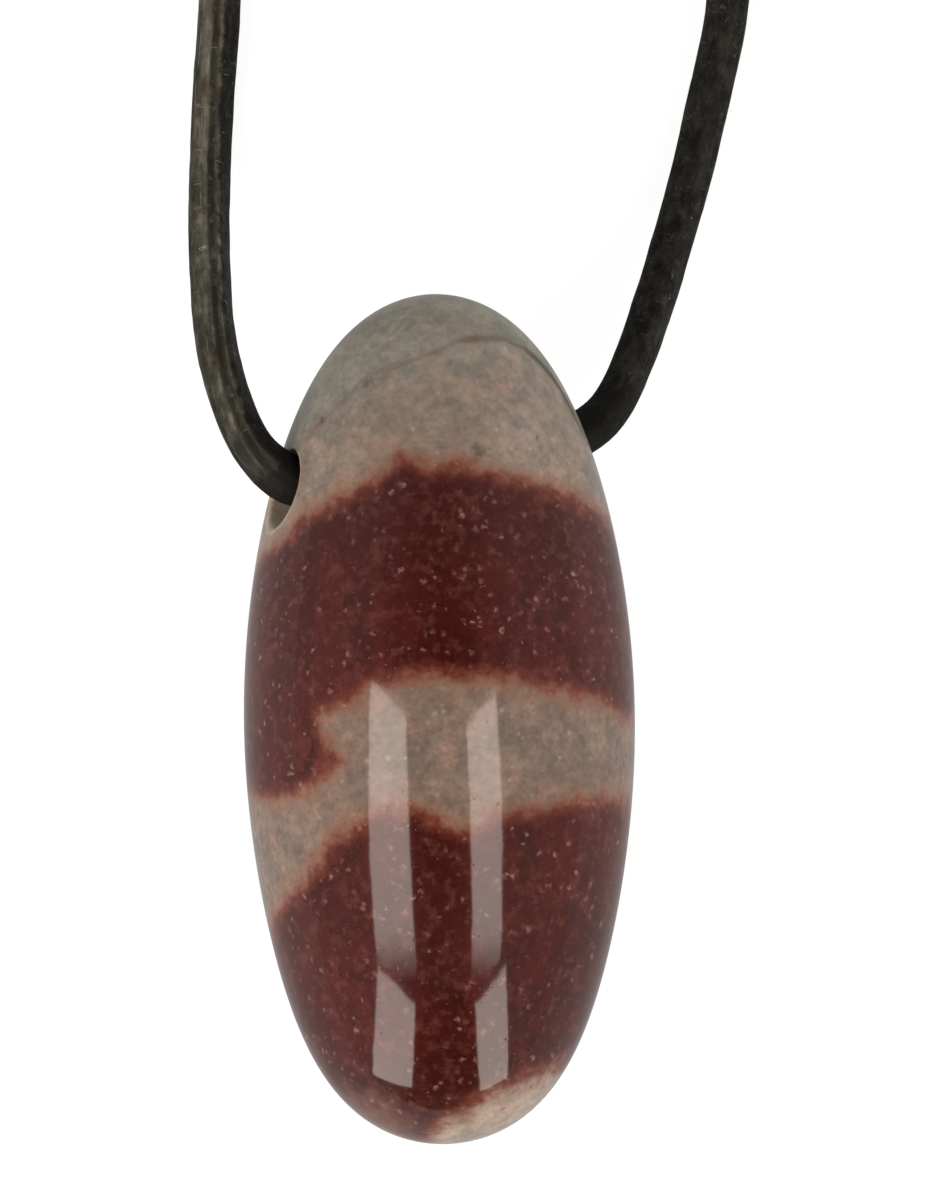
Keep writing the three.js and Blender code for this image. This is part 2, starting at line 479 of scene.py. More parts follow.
# The red bands' edges: degrees round the long axis, 0 at the top and positive towards +X, and the place
# along Y. Between the first and the second edge the stone is red, and again below the third.
bandEdges = (
    (
        (-180, 5.6), (-150, 5.9), (-120, 6.4), (-95, 6.8), (-76, 7.6), (-60, 8.4), (-49, 9.6), (-35, 10.3),
        (-25, 10.8), (-17, 11.8), (-13, 12.5), (-9, 12.1), (0, 11.6), (11, 11.8), (20, 11.6), (28, 11.1),
        (40, 10.7), (52, 10.3), (64, 9.9), (75, 9.2), (90, 8.6), (120, 7.4), (150, 6.2), (180, 5.6),
    ),
    (
        (-180, -1.2), (-155, -2.4), (-130, -3.6), (-105, -3.5), (-85, -3.3), (-70, -3.3), (-59, -3.5),
        (-48, -3.5), (-40, -2.8), (-35, -2.3), (-31, -1.8), (-33, -1.2), (-37, -0.4), (-38, 0.2), (-32, 0.7),
        (-26, 0.9), (-21, 1.5), (-14, 1.9), (-7, 2.2), (5, 2.0), (16, 1.9), (24, 1.8), (37, 1.3),
        (53, 0.9), (69, 0.2), (90, -0.1), (120, -0.6), (150, -1.0), (180, -1.2),
    ),
    (
        (-180, -7.3), (-150, -9.0), (-130, -9.8), (-105, -10.2), (-85, -9.9), (-74, -9.5), (-66, -9.0),
        (-59, -8.4), (-49, -7.5), (-40, -6.5), (-30, -5.0), (-23, -4.5), (-15, -4.1), (-7, -4.0), (-1, -4.3),
        (4, -5.0), (8, -5.1), (16, -4.3), (22, -4.15), (33, -4.15), (42, -3.8), (59, -3.7), (75, -4.1),
        (90, -4.4), (130, -5.2), (160, -6.4), (180, -7.3),
    ),
)
# Below this slanting plane the stone is pale again, and its edge is sharper than the bands' edges.
paleTip = {"place": -19.7, "slope": 0.52, "lean": 0.27, "sharpness": 1.6}
seam = {
    "line": (
        (-180, 9.9), (-140, 10.2), (-100, 11), (-75, 12), (-59, 13.3), (-46, 14.6), (-33, 16.1),
        (-22, 16.4), (-13, 16.7), (3, 17.3), (15, 17.7), (26, 17.8), (43, 17.8), (57, 17.4),
        (65, 16.8), (71, 16.1), (74, 15.4), (76, 14.8), (77, 14.2), (79, 13.6), (90, 12.6),
        (110, 11.4), (140, 10.2), (180, 9.9),
    ),
    "strength": (
        (-64, 0), (-55, 0.45), (10, 0.45), (20, 0.75), (55, 0.75), (65, 1), (75, 1), (80, 0.3), (100, 0.5),
        (125, 0.3), (140, 0),
    ),
}


def roundAxis(places):  # degrees round the long axis, on the oval
    return np.degrees(np.arctan2(places[:, 0] / halfSize[0], (places[:, 2] - axisHeight) / halfSize[2]))


def toLines(places, lines):
    # Millimetres over the skin to the nearest of the lines, and how many of them lie further up.
    angle = roundAxis(places)
    t = np.clip(places[:, 1] / halfSize[1], -1, 1)
    girth = np.maximum(halfSize[0] * np.sqrt(1 - t**2) * roundness(t), 1)  # for a radian, and never 0
    nearest = np.full(len(places), np.inf)
    above = np.zeros(len(places), int)
    for line in lines:
        for (startAngle, start), (endAngle, end) in zip(line, line[1:]):
            a = np.radians((startAngle - angle + 180) % 360 - 180) * girth
            width = np.radians(endAngle - startAngle) * girth
            up = start - places[:, 1]
            share = np.clip(-(a * width + up * (end - start)) / (width**2 + (end - start) ** 2), 0, 1)
            nearest = np.minimum(nearest, np.hypot(a + width * share, up + (end - start) * share))
            over = (startAngle <= angle) != (endAngle <= angle)
            crossing = start + (end - start) * (angle - startAngle) / (endAngle - startAngle)
            above += over & (crossing > places[:, 1])
    return nearest, above


def bandDepth(places):  # above 0 in red, which is where an odd number of edges lies further up
    nearest, above = toLines(places, bandEdges)
    return np.where(above % 2 == 1, nearest, -nearest)


def tipDepth(places):  # millimetres above the slanting plane that cuts the red off at the lower end
    slanted = places[:, 1] - paleTip["place"] - paleTip["slope"] * places[:, 0]
    slanted -= paleTip["lean"] * (places[:, 2] - axisHeight)
    return slanted / sqrt(1 + paleTip["slope"] ** 2)


def seamReach(places):  # above 0 on the side of the top end
    nearest, above = toLines(places, [seam["line"]])
    return np.where(above == 0, nearest, -nearest)


def boreShare(places):  # 1 on the hole's wall and 0 outside its edge
    offset = places - boreMiddle
    fromAxis = np.hypot(offset @ boreSide, offset @ boreUp)
    beyondWall = fromAxis - stone["boreRadius"]
    return 1 - ease(beyondWall, stone["wallSlack"], stone["rounding"])


aboveTip = tipDepth(stonePlaces)
redDepth = np.minimum(bandDepth(stonePlaces), paleTip["sharpness"] * aboveTip)
keep(stoneBody, "bandDepth", "FLOAT", redDepth)
keep(stoneBody, "tipDepth", "FLOAT", aboveTip)
keep(stoneBody, "seamReach", "FLOAT", seamReach(stonePlaces))
keep(stoneBody, "boreShare", "FLOAT", boreShare(stonePlaces))
seamAngles, seamStrengths = np.array(seam["strength"], float).T
keep(stoneBody, "seamStrength", "FLOAT", np.interp(roundAxis(stonePlaces), seamAngles, seamStrengths))
print("stone: done")


def colour(red, green, blue):  # screen values 0 to 255 as light: ((v/255 + 0.055) / 1.055) ^ 2.4
    return tuple(((value / 255 + 0.055) / 1.055) ** 2.4 for value in (red, green, blue)) + (1,)


def addNode(tree, kind, inputs, **settings):  # a socket among the inputs is linked, and a value is set
    added = tree.nodes.new("ShaderNode" + kind)
    for key, value in settings.items():
        setattr(added, key, value)
    for key, value in inputs.items():
        if isinstance(value, bpy.types.NodeSocket):
            tree.links.new(value, added.inputs[key])
        else:
            added.inputs[key].default_value = value
    return added


def maths(tree, operation, first, second=0.0, third=0.0):
    return addNode(tree, "Math", {0: first, 1: second, 2: third}, operation=operation).outputs[0]


def times(tree, first, second):
    return maths(tree, "MULTIPLY", first, second)


def plus(tree, first, second):
    return maths(tree, "ADD", first, second)


def swing(tree, value, reach):  # a noise's 0 to 1 as -reach to reach
    return maths(tree, "MULTIPLY_ADD", value, 2 * reach, -reach)


def between(tree, value, low, high, start=0.0, end=1.0):
    # start up to low, end from high on, and a smooth 3t^2 - 2t^3 between them
    inputs = {"Value": value, "From Min": low, "From Max": high, "To Min": start, "To Max": end}
    return addNode(tree, "MapRange", inputs, interpolation_type="SMOOTHSTEP").outputs[0]


def mixed(tree, share, first, second, blend="MIX"):  # the first at a share of 0, the second at 1
    inputs = {0: share, 6: first, 7: second}
    return addNode(tree, "Mix", inputs, data_type="RGBA", blend_type=blend).outputs[2]


def stretched(tree, vector, scale, move=(0, 0, 0)):  # the vector times scale, plus move
    inputs = {"Vector": vector, "Location": move, "Scale": scale}
    return addNode(tree, "Mapping", inputs).outputs[0]


def noise(tree, vector, scale, detail=3.0, roughness=0.55):
    inputs = {"Vector": vector, "Scale": scale, "Detail": detail, "Roughness": roughness}
    return addNode(tree, "TexNoise", inputs).outputs[0]


def ramp(tree, value, stops):  # a shade at each stop, and a straight blend between them
    added = addNode(tree, "ValToRGB", {0: value})
    points = added.color_ramp.elements
    while len(points) < len(stops):
        points.new(1)
    for point, (place, shade) in zip(points, stops):
        point.position = place
        point.color = shade
    return added.outputs[0]


def specks(tree, vector, scale, radius, share, strength=1.0):
    # Small soft spots, one in each of the share of cells that have one. Each has its own size, from half to
    # 1.4 times the radius, and its own brightness, up to the strength.
    cells = addNode(tree, "TexVoronoi", {"Vector": vector, "Scale": scale})
    chance, brightness, size = addNode(tree, "SeparateColor", {0: cells.outputs["Color"]}).outputs[:3]
    chosen = maths(tree, "LESS_THAN", chance, share)
    reach = between(tree, size, 0, 1, radius * scale * 0.5, radius * scale * 1.4)
    spot = between(tree, cells.outputs["Distance"], reach, 0)
    return times(tree, times(tree, spot, chosen), between(tree, brightness, -0.2, 1, 0, strength))


def newMaterial(name):
    made = bpy.data.materials.new(name)
    made.use_nodes = True
    return made, made.node_tree, made.node_tree.nodes["Principled BSDF"]


def inMillimetres(tree):  # the place in the object's own coordinates
    place = addNode(tree, "TexCoord", {}).outputs["Object"]
    return stretched(tree, place, (1 / mm, 1 / mm, 1 / mm))


def kept(tree, name, output="Fac"):  # what keep() put on the vertices
    return addNode(tree, "Attribute", {}, attribute_name=name).outputs[output]


stoneColours = {
    "greyCap": (106, 104, 93),
    "warmCap": (107, 96, 85),
    "bandBeige": (103, 89, 79),
    "paleEnd": (150, 138, 126),
    # the hole's raw wall: paler than the polish, and also painted lighter against the lace's shadow
    "rawWallWithPaintedLight": (162, 145, 127),
    # painted shadow on the hole's wall above the lace
    "wallShadow": (38, 33, 27),
    "stain": (112, 80, 64),
    "rust": (88, 41, 32),
    "maroon": (61, 20, 15),
    "deepMaroon": (46, 14, 10),
    "redGrain": (93, 52, 45),
    "pinkSpot": (132, 98, 87),
    "paleSpot": (150, 138, 126),
    # painted reflection of the floor, greyish brown over the red at the lower left end
    "paintedFloorVeil": (99, 70, 59),
    "darkSpot": (46, 24, 18),
    "speck": (168, 128, 120),
    "seam": (54, 46, 38),
    "seamStain": (84, 64, 52),
}
stoneLook = {
    "wander": 0.4,  # how far the bands' edges wander, fray and get grainy
    "fray": 0.85,
    "grainy": 0.4,
    "stainFrom": (-0.95, 0.15),  # over the edge from beige to stained, rusty and red
    "rustFrom": (-0.5, 0.4),
    "redFrom": (-0.1, 0.9),
    "tipFade": (1.5, -0.1),  # above the slanting plane, where beige turns pale
    "redMiddleShade": (0.3, 1.8, 0.25, 1),  # across from and to, and the share of the lighter maroon there: a painted shade down the middle
    "redTop": (6.2, 8.4, 1, 0.45),  # the same along Y
    "redLowEnd": (-14.5, -16.5, 1, 0.35),
    "floorVeilEnd": (-16.4, -19, 0, 0.6),  # along Y from and to, and the share of the painted reflection of the floor
    "floorVeilLeft": (-2.6, -0.8, 1, 0.15),  # the same across
    "hairline": (0.16, 0.5),  # the seam's half width, where it is weak and where it is strong
    "polished": 0.07,
    "dull": 0.34,
    "dullFrom": (9, 15),  # along Y
    "pitted": 0.4,
    "relief": 0.015,
    "pitRelief": 0.3,  # as shares of the relief
    "grainRelief": 0.4,
}
stoneSpecks = {  # cells in a millimetre, radius, share of the cells, and strength where it is under 1
    "pink": (0.9, 0.5, 0.6, 0.5),
    "pale": (1.9, 0.16, 0.8, 0.45),
    "rusty": (2.1, 0.17, 0.9),
    "grains": (1.9, 0.18, 0.7, 0.4),
    "many": (2.1, 0.16, 0.9, 0.42),
    "few": (1.3, 0.145, 0.4, 0.52),
    "widePits": (1.3, 0.1, 0.8),
    "finePits": (2.3, 0.06, 0.8),
}
holeWallShadow = {"place": (-5.6, 12.9, 9.9), "radius": 1.6, "share": 0.85}  # a painted shadow on the hole's wall just above the lace
darkSpots = (  # place on the skin, radius and strength
    ((2.0, 12.5, 14.7), 0.7, 0.42),
    ((4.7, 13.1, 13.1), 0.14, 0.8),
    ((0.4, 7.3, 16.1), 0.36, 0.9),
    ((-5.3, 14.0, 12.1), 0.34, 0.6),
    ((-3.2, 15.7, 12.8), 0.4, 0.45),
    ((3.3, 16.4, 12.6), 1.3, 0.18),
    ((3.6, 14.5, 13.2), 1.9, 0.12),
    ((3.3, -14.0, 13.9), 1.7, 0.42),
)


def beigeShade(tree, look, place, bent, depth):
    # Greyer above the seam, warmer under it and in the band, and pale at the lower end.
    height = addNode(tree, "SeparateXYZ", {0: place}).outputs[1]
    drift = swing(tree, noise(tree, place, 0.45, 2, 0.6), 3)
    aboveSeam = between(tree, plus(tree, kept(tree, "seamReach"), drift), -2.2, 1.6)
    cap = mixed(tree, aboveSeam, look["warmCap"], look["greyCap"])
    beige = mixed(tree, between(tree, height, 4, 9), look["bandBeige"], cap)
    tipFade = between(tree, kept(tree, "tipDepth"), *stoneLook["tipFade"])
    beige = mixed(tree, tipFade, beige, look["paleEnd"])
    stops = ((0.38, (0.83, 0.85, 0.86, 1)), (0.5, (1, 1, 1, 1)), (0.62, (1.2, 1.15, 1.11, 1)))
    beige = mixed(tree, 1.0, beige, ramp(tree, noise(tree, place, 0.75, 3, 0.6), stops), "MULTIPLY")
    beige = mixed(tree, specks(tree, bent, *stoneSpecks["pink"]), beige, look["pinkSpot"])
    beige = mixed(tree, specks(tree, place, *stoneSpecks["pale"]), beige, look["paleSpot"])
    beige = mixed(tree, between(tree, depth, -2.2, 0, 0, 0.2), beige, look["stain"])
    nearRed = between(tree, depth, -2, -0.3, 0, 0.8)
    flecks = times(tree, specks(tree, bent, *stoneSpecks["rusty"]), nearRed)
    return mixed(tree, flecks, beige, look["rust"])


def redShade(tree, look, place, bent):
    # Columns of lighter and darker maroon, under a purplish grain. It is darkest down the middle, which is
    # painted shade where the polish faces straight up, and along the upper band's top edge and at the lower
    # end.
    patchy = noise(tree, stretched(tree, place, (1, 0.4, 1), (0.6, 0, 0)), 0.6, 3, 0.65)
    right, height = addNode(tree, "SeparateXYZ", {0: place}).outputs[:2]
    off = maths(tree, "ABSOLUTE", plus(tree, right, swing(tree, noise(tree, place, 0.35, 2), 1)))
    lighter = between(tree, patchy, 0.36, 0.62, 0.3, 1)
    # Painted shade down the middle, where the polish faces straight up.
    lighter = times(tree, lighter, between(tree, off, *stoneLook["redMiddleShade"]))
    lighter = times(tree, lighter, between(tree, height, *stoneLook["redTop"]))
    lighter = times(tree, lighter, between(tree, height, *stoneLook["redLowEnd"]))
    red = mixed(tree, lighter, look["deepMaroon"], look["maroon"])
    mottled = between(tree, noise(tree, place, 1.5, 2, 0.65), 0.48, 0.7, 0, 0.32)
    red = mixed(tree, mottled, red, look["redGrain"])
    return mixed(tree, specks(tree, bent, *stoneSpecks["grains"]), red, look["redGrain"])


def stoneMaterial():
    # From the skin's depth in the red, beige turns to a stain, rust and maroon, and at the lower left end to
    # a painted reflection of the floor. Over that lie the grain, pale specks, the seam, the dark spots and
    # the hole's raw wall, which is painted lighter against the lace's shadow and carries a painted shadow
    # above the lace.
    look = {key: colour(*value) for key, value in stoneColours.items()}
    made, tree, shader = newMaterial("polishedStone")
    place = inMillimetres(tree)
    wobble = addNode(tree, "TexNoise", {"Vector": place, "Scale": 3.0, "Detail": 2.0}).outputs["Color"]
    bent = mixed(tree, 0.25, place, wobble, "LINEAR_LIGHT")
    grain = noise(tree, place, 2.2, 3, 0.7)

    wander = swing(tree, noise(tree, place, 0.5, 2), stoneLook["wander"])
    fray = swing(tree, noise(tree, place, 1.2, 4, 0.6), stoneLook["fray"])
    depth = plus(tree, plus(tree, kept(tree, "bandDepth"), wander), fray)
    soft = plus(tree, depth, swing(tree, grain, stoneLook["grainy"]))
    beige = beigeShade(tree, look, place, bent, depth)
    red = redShade(tree, look, place, bent)
    right, height = addNode(tree, "SeparateXYZ", {0: place}).outputs[:2]
    # A painted reflection of the floor over the red at the lower end, strongest on the left.
    drifted = plus(tree, height, swing(tree, noise(tree, place, 0.7, 2), 2))
    floorVeiled = between(tree, drifted, *stoneLook["floorVeilEnd"])
    floorVeiled = times(tree, floorVeiled, between(tree, right, *stoneLook["floorVeilLeft"]))
    shade = mixed(tree, between(tree, soft, *stoneLook["stainFrom"]), beige, look["stain"])
    shade = mixed(tree, between(tree, soft, *stoneLook["rustFrom"]), shade, look["rust"])
    shade = mixed(tree, between(tree, soft, *stoneLook["redFrom"]), shade, red)
    shade = mixed(tree, times(tree, floorVeiled, between(tree, soft, -0.5, 0.2)), shade, look["paintedFloorVeil"])
    grainTone = ramp(tree, grain, ((0.32, (0.8, 0.78, 0.77, 1)), (0.68, (1.2, 1.2, 1.2, 1))))
    shade = mixed(tree, 1.0, shade, grainTone, "MULTIPLY")

    gathered = between(tree, noise(tree, place, 0.6, 2), 0.38, 0.62, 0.35, 1)
    inRed = between(tree, depth, -0.6, 0.4, 0.45, 1)
    many = specks(tree, bent, *stoneSpecks["many"])
    few = specks(tree, bent, *stoneSpecks["few"])
    pale = times(tree, times(tree, maths(tree, "MAXIMUM", many, few), gathered), inRed)
    shade = mixed(tree, pale, shade, look["speck"])

    strength = kept(tree, "seamStrength")
    unsteady = swing(tree, noise(tree, place, 1.2), 0.15)
    reach = maths(tree, "ABSOLUTE", plus(tree, kept(tree, "seamReach"), unsteady))
    dotted = between(tree, plus(tree, noise(tree, place, 2.2, 2), times(tree, strength, 0.3)), 0.52, 0.66)
    wide = between(tree, strength, 0.6, 1, *stoneLook["hairline"])
    hairline = times(tree, times(tree, between(tree, reach, wide, 0.03), strength), dotted)
    uneven = between(tree, noise(tree, place, 1.1), 0.45, 0.7, 0, 0.6)
    smudge = times(tree, between(tree, reach, 0.5, 0), uneven)
    shade = mixed(tree, times(tree, smudge, between(tree, strength, 0, 0.4)), shade, look["seamStain"])
    seamTone = mixed(tree, between(tree, strength, 0.6, 1), look["seamStain"], look["seam"])
    shade = mixed(tree, times(tree, hairline, 0.85), shade, seamTone)
    for middle, radius, share in darkSpots:
        away = addNode(tree, "VectorMath", {0: bent, 1: middle}, operation="DISTANCE").outputs["Value"]
        spot = between(tree, plus(tree, away, swing(tree, grain, radius * 0.6)), radius, 0)
        shade = mixed(tree, times(tree, spot, share), shade, look["darkSpot"])

    inBore = kept(tree, "boreShare")
    # The raw wall's paler colour, partly painted light against the lace's shadow in the hole.
    wall = mixed(tree, 1.0, look["rawWallWithPaintedLight"], grainTone, "MULTIPLY")
    # A painted shadow on the hole's wall, just above the lace at the left mouth.
    fromWallShadow = addNode(tree, "VectorMath", {0: bent, 1: holeWallShadow["place"]}, operation="DISTANCE")
    wallShadowShare = between(tree, fromWallShadow.outputs["Value"], holeWallShadow["radius"], holeWallShadow["radius"] * 0.4)
    wall = mixed(tree, times(tree, wallShadowShare, holeWallShadow["share"]), wall, look["wallShadow"])
    shade = mixed(tree, inBore, shade, wall)
    tree.links.new(shade, shader.inputs["Base Color"])

    widePits = specks(tree, bent, *stoneSpecks["widePits"])
    pits = maths(tree, "MAXIMUM", widePits, specks(tree, place, *stoneSpecks["finePits"]))
    dull = maths(tree, "MAXIMUM", between(tree, height, *stoneLook["dullFrom"]), inBore)
    rough = between(tree, dull, 0, 1, stoneLook["polished"], stoneLook["dull"])
    rough = maths(tree, "MAXIMUM", rough, times(tree, pits, stoneLook["pitted"]))
    tree.links.new(rough, shader.inputs["Roughness"])
    swell = noise(tree, place, 0.35, 2)
    relief = maths(tree, "SUBTRACT", swell, times(tree, pits, stoneLook["pitRelief"]))
    relief = plus(tree, relief, times(tree, times(tree, grain, dull), stoneLook["grainRelief"]))
    bump = addNode(tree, "Bump", {"Height": relief, "Distance": stoneLook["relief"] * mm, "Strength": 1.0})
    tree.links.new(bump.outputs[0], shader.inputs["Normal"])
    return made


laceColours = {
    "grainSide": (61, 59, 50),
    "worn": (84, 81, 71),
    "cutSides": (18, 17, 14),
    # painted shade in the crease
    "crease": (17, 16, 8),
    # painted shade on the lace in and near the hole
    "holeShade": (9, 9, 8),
    "brown": (46, 30, 22),
    "crack": (88, 85, 76),
    "glint": (160, 156, 146),
}
laceLook = {
    "leftEdge": (-0.6, 0.1, 0.45, 1),  # across the grain side, from and to, and how bright it is there
    "rightEdge": (0.3, 0.7, 1, 0.75),
    "grainFrom": (0.48, 0.74),  # how far up the cut sides end
    "creaseAt": 0.5,
    "creaseDrift": 0.2,
    "creaseWidth": (0.3, 0.05),
    "creaseShade": 0.85,
    "inHole": 8.7,  # how far along the lace its painted shade in the hole ends
    "fadeInHole": (0.6, 0.95),  # over this length, to this share
    "nearHole": (2.2, 0.8, 0, 0.6),  # beyond that end, from and to, and the share of painted shade near the mouth
    "brownBlots": (0.9, 0.45, 0.6, 0.9),  # cells in a millimetre, radius, share of the cells, strength
    "glints": (0.9, 0.12, 0.3, 0.8),
    "roughness": (0.5, 0.7),
    "specular": 0.15,
    "relief": 0.05,
    "creaseRelief": 0.6,  # as a share of the relief
}


def laceMaterial():
    # A worn grain side with one crease painted darker as shade, darker cut sides, and over both fine cracks,
    # dust and a few glints. In and near the hole the lace is painted dark as shade.
    look = {key: colour(*value) for key, value in laceColours.items()}
    made, tree, shader = newMaterial("blackLeather")
    straight = kept(tree, "straight", "Vector")
    across, up, along = addNode(tree, "SeparateXYZ", {0: straight}).outputs[:3]
    streaks = noise(tree, stretched(tree, straight, (1, 1, 0.12)), 2.6, 4, 0.65)
    mottle = noise(tree, stretched(tree, straight, (1, 1, 0.6)), 1.5, 4, 0.7)
    blots = noise(tree, stretched(tree, straight, (1, 1, 0.5), (7, 0, 0)), 3.2, 3, 0.6)
    fine = noise(tree, straight, 6, 3, 0.7)

    grainSide = mixed(tree, between(tree, mottle, 0.42, 0.66), look["grainSide"], look["worn"])
    softTone = ramp(tree, blots, ((0.38, (0.75, 0.75, 0.75, 1)), (0.62, (1.2, 1.2, 1.2, 1))))
    grainSide = mixed(tree, 1.0, grainSide, softTone, "MULTIPLY")
    leftEdge = between(tree, across, *laceLook["leftEdge"])
    rightEdge = between(tree, across, *laceLook["rightEdge"])
    grainSide = mixed(tree, 1.0, grainSide, times(tree, leftEdge, rightEdge), "MULTIPLY")
    brown = specks(tree, stretched(tree, straight, (1, 1, 0.7)), *laceLook["brownBlots"])
    grainSide = mixed(tree, brown, grainSide, look["brown"])
    tone = ramp(tree, streaks, ((0.36, (0.55, 0.55, 0.53, 1)), (0.64, (1.4, 1.4, 1.4, 1))))
    grainSide = mixed(tree, 1.0, grainSide, tone, "MULTIPLY")
    lines = between(tree, noise(tree, stretched(tree, straight, (1, 1, 0.07)), 6, 3, 0.6), 0.57, 0.66, 0, 0.6)
    grainSide = mixed(tree, lines, grainSide, look["crack"])

    drift = noise(tree, stretched(tree, straight, (0, 0, 0.12)), 1.0)
    creaseAt = plus(tree, swing(tree, drift, laceLook["creaseDrift"]), laceLook["creaseAt"])
    fromCrease = maths(tree, "ABSOLUTE", maths(tree, "SUBTRACT", across, creaseAt))
    crease = between(tree, fromCrease, *laceLook["creaseWidth"])
    crease = times(tree, crease, between(tree, mottle, 0.36, 0.5, 0.3, 1))
    # Painted shade along the crease.
    grainSide = mixed(tree, times(tree, crease, laceLook["creaseShade"]), grainSide, look["crease"])

    patches = ramp(tree, mottle, ((0.36, (0.5, 0.5, 0.5, 1)), (0.66, (2.2, 2.25, 2.15, 1))))
    blotTone = ramp(tree, blots, ((0.38, (0.55, 0.55, 0.55, 1)), (0.62, (1.5, 1.5, 1.5, 1))))
    cutSides = mixed(tree, 1.0, look["cutSides"], patches, "MULTIPLY")
    cutSides = mixed(tree, 1.0, cutSides, blotTone, "MULTIPLY")
    height = plus(tree, plus(tree, up, swing(tree, fine, 0.12)), swing(tree, mottle, 0.25))
    shade = mixed(tree, between(tree, height, *laceLook["grainFrom"]), cutSides, grainSide)

    thin = noise(tree, stretched(tree, straight, (0.7, 0.7, 4.5), (2, 5, 3)), 1.3, 2)
    cracks = times(tree, between(tree, thin, 0.66, 0.73), between(tree, up, -0.4, 0.6, 0.2, 0.7))
    shade = mixed(tree, cracks, shade, look["crack"])
    dust = between(tree, noise(tree, stretched(tree, straight, (1, 1, 0.7)), 4.5, 3, 0.6), 0.62, 0.74, 0, 0.5)
    shade = mixed(tree, dust, shade, look["crack"])
    wobble = addNode(tree, "TexNoise", {"Vector": straight, "Scale": 5.0}).outputs["Color"]
    shaken = mixed(tree, 0.3, straight, wobble, "LINEAR_LIGHT")
    shade = mixed(tree, specks(tree, shaken, *laceLook["glints"]), shade, look["glint"])
    # Painted shade on the lace in the hole and near its mouth.
    reach = plus(tree, along, swing(tree, mottle, 0.8))
    pastHole = maths(tree, "SUBTRACT", reach, laceLook["inHole"])
    fade, holeShadeShare = laceLook["fadeInHole"]
    inside = between(tree, pastHole, 0, -fade, 0, holeShadeShare)
    nearHole = between(tree, pastHole, *laceLook["nearHole"])
    shade = mixed(tree, maths(tree, "MAXIMUM", inside, nearHole), shade, look["holeShade"])

    relief = plus(tree, times(tree, streaks, 0.8), times(tree, fine, 0.4))
    relief = maths(tree, "SUBTRACT", relief, times(tree, crease, laceLook["creaseRelief"]))
    bump = addNode(tree, "Bump", {"Height": relief, "Distance": laceLook["relief"] * mm, "Strength": 1.0})
    tree.links.new(bump.outputs[0], shader.inputs["Normal"])
    tree.links.new(shade, shader.inputs["Base Color"])
    tree.links.new(between(tree, fine, 0.3, 0.7, *laceLook["roughness"]), shader.inputs["Roughness"])
    shader.inputs["Specular IOR Level"].default_value = laceLook["specular"]
    return made


stoneBody.data.materials.append(stoneMaterial())
leather = laceMaterial()
for piece in (laceLeft, laceRight, laceKnot):
    piece.data.materials.append(leather)
print("materials: done")


light = {
    "floorHalfSize": 4,  # metres, as all lengths here are
    "floor": (100, 100, 100),
    "floorGlow": 0.3,
    "seenGlow": 0.6,  # what the camera sees on top of the lit floor
    "stripDistance": 2,
    "longStrip": 4.9,
    "lowStrip": 5.1,
    "fadeFrom": -0.72,  # how far towards the lower end a long strip starts to dim
    "fadeTo": -1.06,
    "sideDistance": 1.2,
    "sideElevation": 14,
    "sideSize": 0.9,
    "leftHeading": 198,  # counterclockwise from +X
    "leftPower": 20,
    "rightHeading": 18,
    "rightPower": 18,
    "farHeading": 90,
    "farPower": 6,
    "strip": (1, 0.88, 0.81, 1),
    "room": (1, 0.96, 0.92, 1),
    "surround": 0.42,
    "surroundShares": ((0, 1), (0.7, 0.8), (0.85, 0.45), (0.97, 0.08), (1, 0.02)),  # from level to above
    "darkBeyond": (-0.35, -0.7),  # the dark part beyond the lower end, along Y and across
    "darkAcross": (0.6, 0.25),
    "darkest": 0.1,
}

# The strip lamps' corners as directions from the stone: two long ones and two that carry on lower down.
strips = (
    ((-0.605, 0.068, 0.793), (-0.306, -0.001, 0.952), (-0.25, -0.535, 0.807), (-0.462, -0.492, 0.738),
     (-0.629, -0.44, 0.64)),
    ((0.248, -0.021, 0.969), (0.512, 0.049, 0.858), (0.575, -0.452, 0.682), (0.472, -0.495, 0.729),
     (0.311, -0.534, 0.786)),
    ((-0.624, -0.455, 0.635), (-0.462, -0.518, 0.72), (-0.283, -0.58, 0.764), (-0.327, -0.907, 0.265),
     (-0.661, -0.749, 0.043)),
    ((0.34, -0.581, 0.74), (0.489, -0.52, 0.7), (0.628, -0.462, 0.626), (0.611, -0.788, 0.074),
     (0.37, -0.915, 0.16)),
)


def glowing(name, tint, strength):  # a black surface that only shines
    made, tree, shader = newMaterial(name)
    shader.inputs["Base Color"].default_value = (0, 0, 0, 1)
    shader.inputs["Emission Color"].default_value = tint
    shader.inputs["Emission Strength"].default_value = strength
    return made, tree, shader


def stageMesh(name, corners, finish):  # one flat face that isn't part of the object
    mesh = bpy.data.meshes.new(name)
    mesh.from_pydata(corners, [], [list(range(len(corners)))])
    made = bpy.data.objects.new(name, mesh)
    mesh.materials.append(finish)
    bpy.context.collection.objects.link(made)
    return made


def makeFloor():
    made, tree, shader = newMaterial("paleFloor")
    shader.inputs["Base Color"].default_value = colour(*light["floor"])
    shader.inputs["Roughness"].default_value = 1
    shader.inputs["Specular IOR Level"].default_value = 0
    shader.inputs["Emission Color"].default_value = (1, 1, 1, 1)
    seen = addNode(tree, "LightPath", {}).outputs["Is Camera Ray"]
    glow = between(tree, seen, 0, 1, light["floorGlow"], light["floorGlow"] + light["seenGlow"])
    tree.links.new(glow, shader.inputs["Emission Strength"])
    half = light["floorHalfSize"]
    stageMesh("floor", [(-half, -half, 0), (half, -half, 0), (half, half, 0), (-half, half, 0)], made)


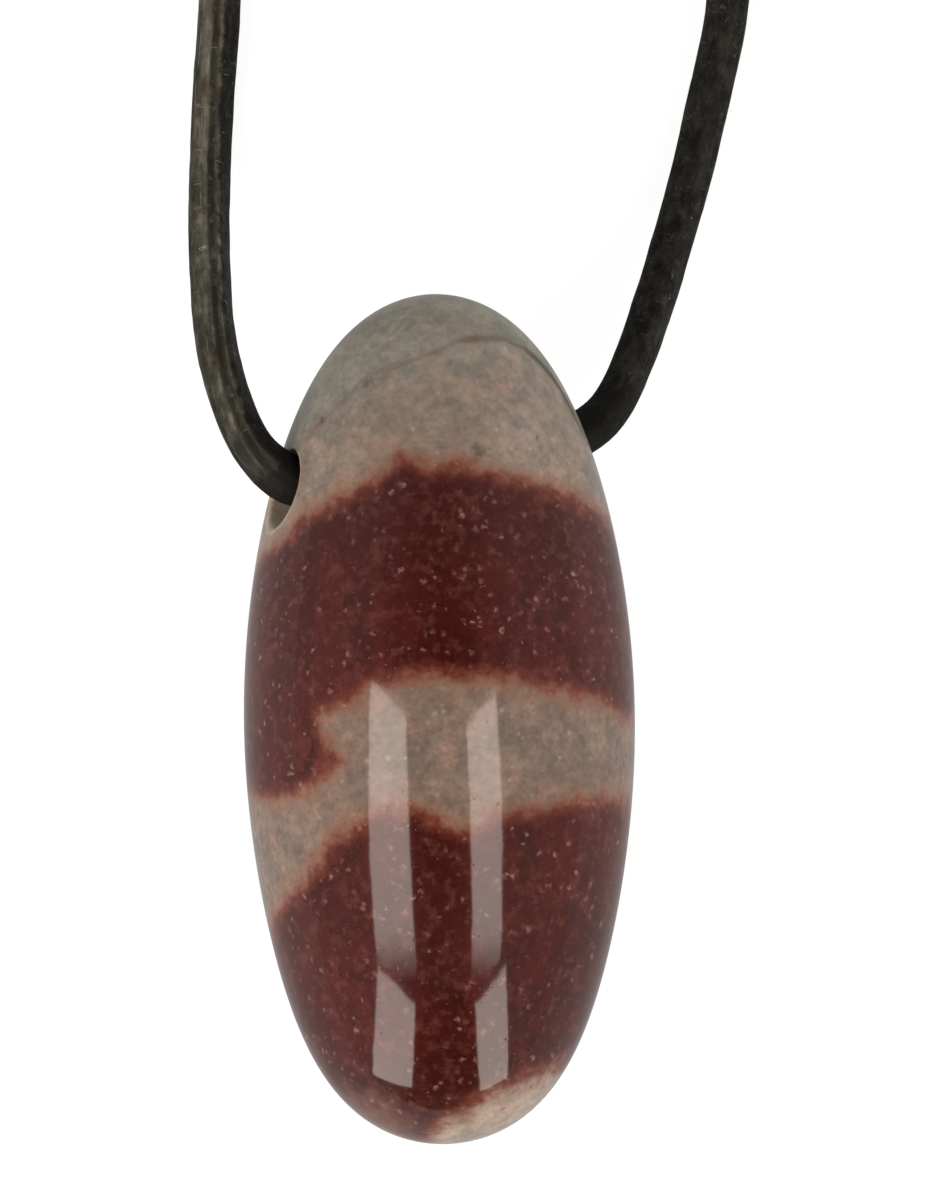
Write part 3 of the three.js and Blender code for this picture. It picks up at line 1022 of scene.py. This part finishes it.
def makeStrips():
    # A long strip dims towards its lower end, and the low ones are even.
    long, tree, shader = glowing("longStrip", light["strip"], light["longStrip"])
    away = addNode(tree, "SeparateXYZ", {0: addNode(tree, "TexCoord", {}).outputs["Object"]}).outputs[1]
    dimmed = between(tree, away, light["fadeFrom"], light["fadeTo"], light["longStrip"], 0)
    tree.links.new(dimmed, shader.inputs["Emission Strength"])
    low = glowing("lowStrip", light["strip"], light["lowStrip"])[0]
    for number, corners in enumerate(strips):
        far = (np.array(corners) * light["stripDistance"]).tolist()
        stageMesh(f"strip{number + 1}", far, low if number > 1 else long).visible_camera = False


def makeSideLights():
    # Each lamp is at its heading and elevation round the middle of the floor, and faces it. It lights the
    # stone and isn't mirrored in it.
    elevation = radians(light["sideElevation"])
    out = light["sideDistance"]
    for name in ("left", "right", "far"):
        data = bpy.data.lights.new(name, "AREA")
        data.size = light["sideSize"]
        data.energy = light[name + "Power"]
        lamp = bpy.data.objects.new(name, data)
        turned = radians(light[name + "Heading"])
        level = out * cos(elevation)
        lamp.location = (level * cos(turned), level * sin(turned), out * sin(elevation))
        lamp.rotation_euler = (0, pi / 2 - elevation, turned)
        lamp.visible_glossy = False
        bpy.context.collection.objects.link(lamp)


def makeSurroundings():
    # Dim straight above and brighter towards the horizon, but dark again low down beyond the lower end.
    world = bpy.data.worlds.new("room")
    world.use_nodes = True
    tree = world.node_tree
    background = tree.nodes["Background"]
    heading = addNode(tree, "TexCoord", {}).outputs["Generated"]
    right, far, up = addNode(tree, "SeparateXYZ", {0: heading}).outputs[:3]
    stops = [(at, (value, value, value, 1)) for at, value in light["surroundShares"]]
    share = ramp(tree, up, stops)
    sideways = maths(tree, "ABSOLUTE", right)
    beyond = between(tree, far, *light["darkBeyond"])
    dark = times(tree, beyond, between(tree, sideways, *light["darkAcross"]))
    share = times(tree, share, between(tree, dark, 0, 1, 1, light["darkest"]))
    tree.links.new(times(tree, share, light["surround"]), background.inputs["Strength"])
    background.inputs["Color"].default_value = light["room"]
    bpy.context.scene.world = world


makeFloor()
makeStrips()
makeSideLights()
makeSurroundings()
bpy.context.scene.view_settings.view_transform = "Standard"
print("light: done")


for piece, nodes, slotName in (
    (stoneBody, ("stone",), "stone"),
    (laceLeft, ("lace_left", "lace_coil"), "lace"),
    (laceRight, ("lace_right", "lace_coil"), "lace"),
    (laceKnot, ("lace_knot",), "lace"),
):
    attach(piece, "root")
    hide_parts(*nodes)
